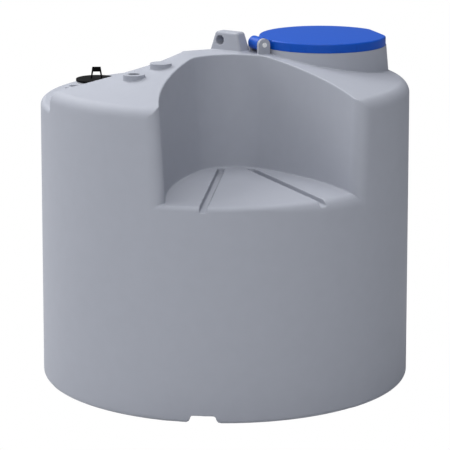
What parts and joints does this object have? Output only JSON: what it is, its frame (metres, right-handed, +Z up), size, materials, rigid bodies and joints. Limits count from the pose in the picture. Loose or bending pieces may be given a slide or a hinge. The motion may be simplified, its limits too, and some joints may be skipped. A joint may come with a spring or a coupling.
{
  "type": "drinking water tank",
  "caption": "Round moulded drinking water tank with a pump recess and shelf, a lowered fittings deck, a lifting lug, pipe bosses and a hinged manway lid.",
  "frame": {"origin": "middle of the underside, on the tank's own upright axis", "axes": "+Z up; -Y towards the front, where the pump recess opens; +X to the right"},
  "size_m": [1.9996, 1.9995, 1.848],
  "materials": {
    "tank_grey": "matt moulded polyethylene",
    "collar_grey": "matt moulded polyethylene",
    "lid_blue": "satin moulding",
    "cap_black": "satin",
    "pin_white": "satin",
    "seal_rubber": "matt"
  },
  "bodies": {
    "tank": {"tank_floor": "tank_grey", "wall_front_left": "tank_grey", "wall_front_right": "tank_grey", "wall_right_front": "tank_grey", "wall_right": "tank_grey", "wall_right_back": "tank_grey", "wall_back_right": "tank_grey", "wall_back_left": "tank_grey", "wall_left_back": "tank_grey", "wall_left": "tank_grey", "wall_left_front": "tank_grey", "pump_shelf": "tank_grey", "recess_back_wall": "tank_grey", "recess_left_wall": "tank_grey", "recess_right_wall": "tank_grey", "fittings_deck": "tank_grey", "deck_step_wall": "tank_grey", "roof_crown": "tank_grey", "roof_right_front": "tank_grey", "roof_right": "tank_grey", "roof_right_back": "tank_grey", "roof_back": "tank_grey", "roof_left": "tank_grey", "manway_neck": "tank_grey", "hinge_ear_front": "tank_grey", "hinge_ear_back": "tank_grey", "lifting_lug": "tank_grey", "roof_socket_boss": "tank_grey", "blind_boss": "tank_grey", "deck_socket_boss": "tank_grey", "inspection_collar": "collar_grey", "hinge_pin": "pin_white", "inspection_cap": "cap_black", "cap_handle": "cap_black"},
    "lid": {"manway_lid": "lid_blue", "lid_gasket": "seal_rubber"}
  },
  "joints": [
    {"name": "lid_hinge", "type": "hinge", "parent": "tank", "child": "lid", "pos_m": [0.17886, 0.08724, 1.791], "axis": [0.4384, -0.8988, 0], "range_deg": [0, 95]}
  ]
}
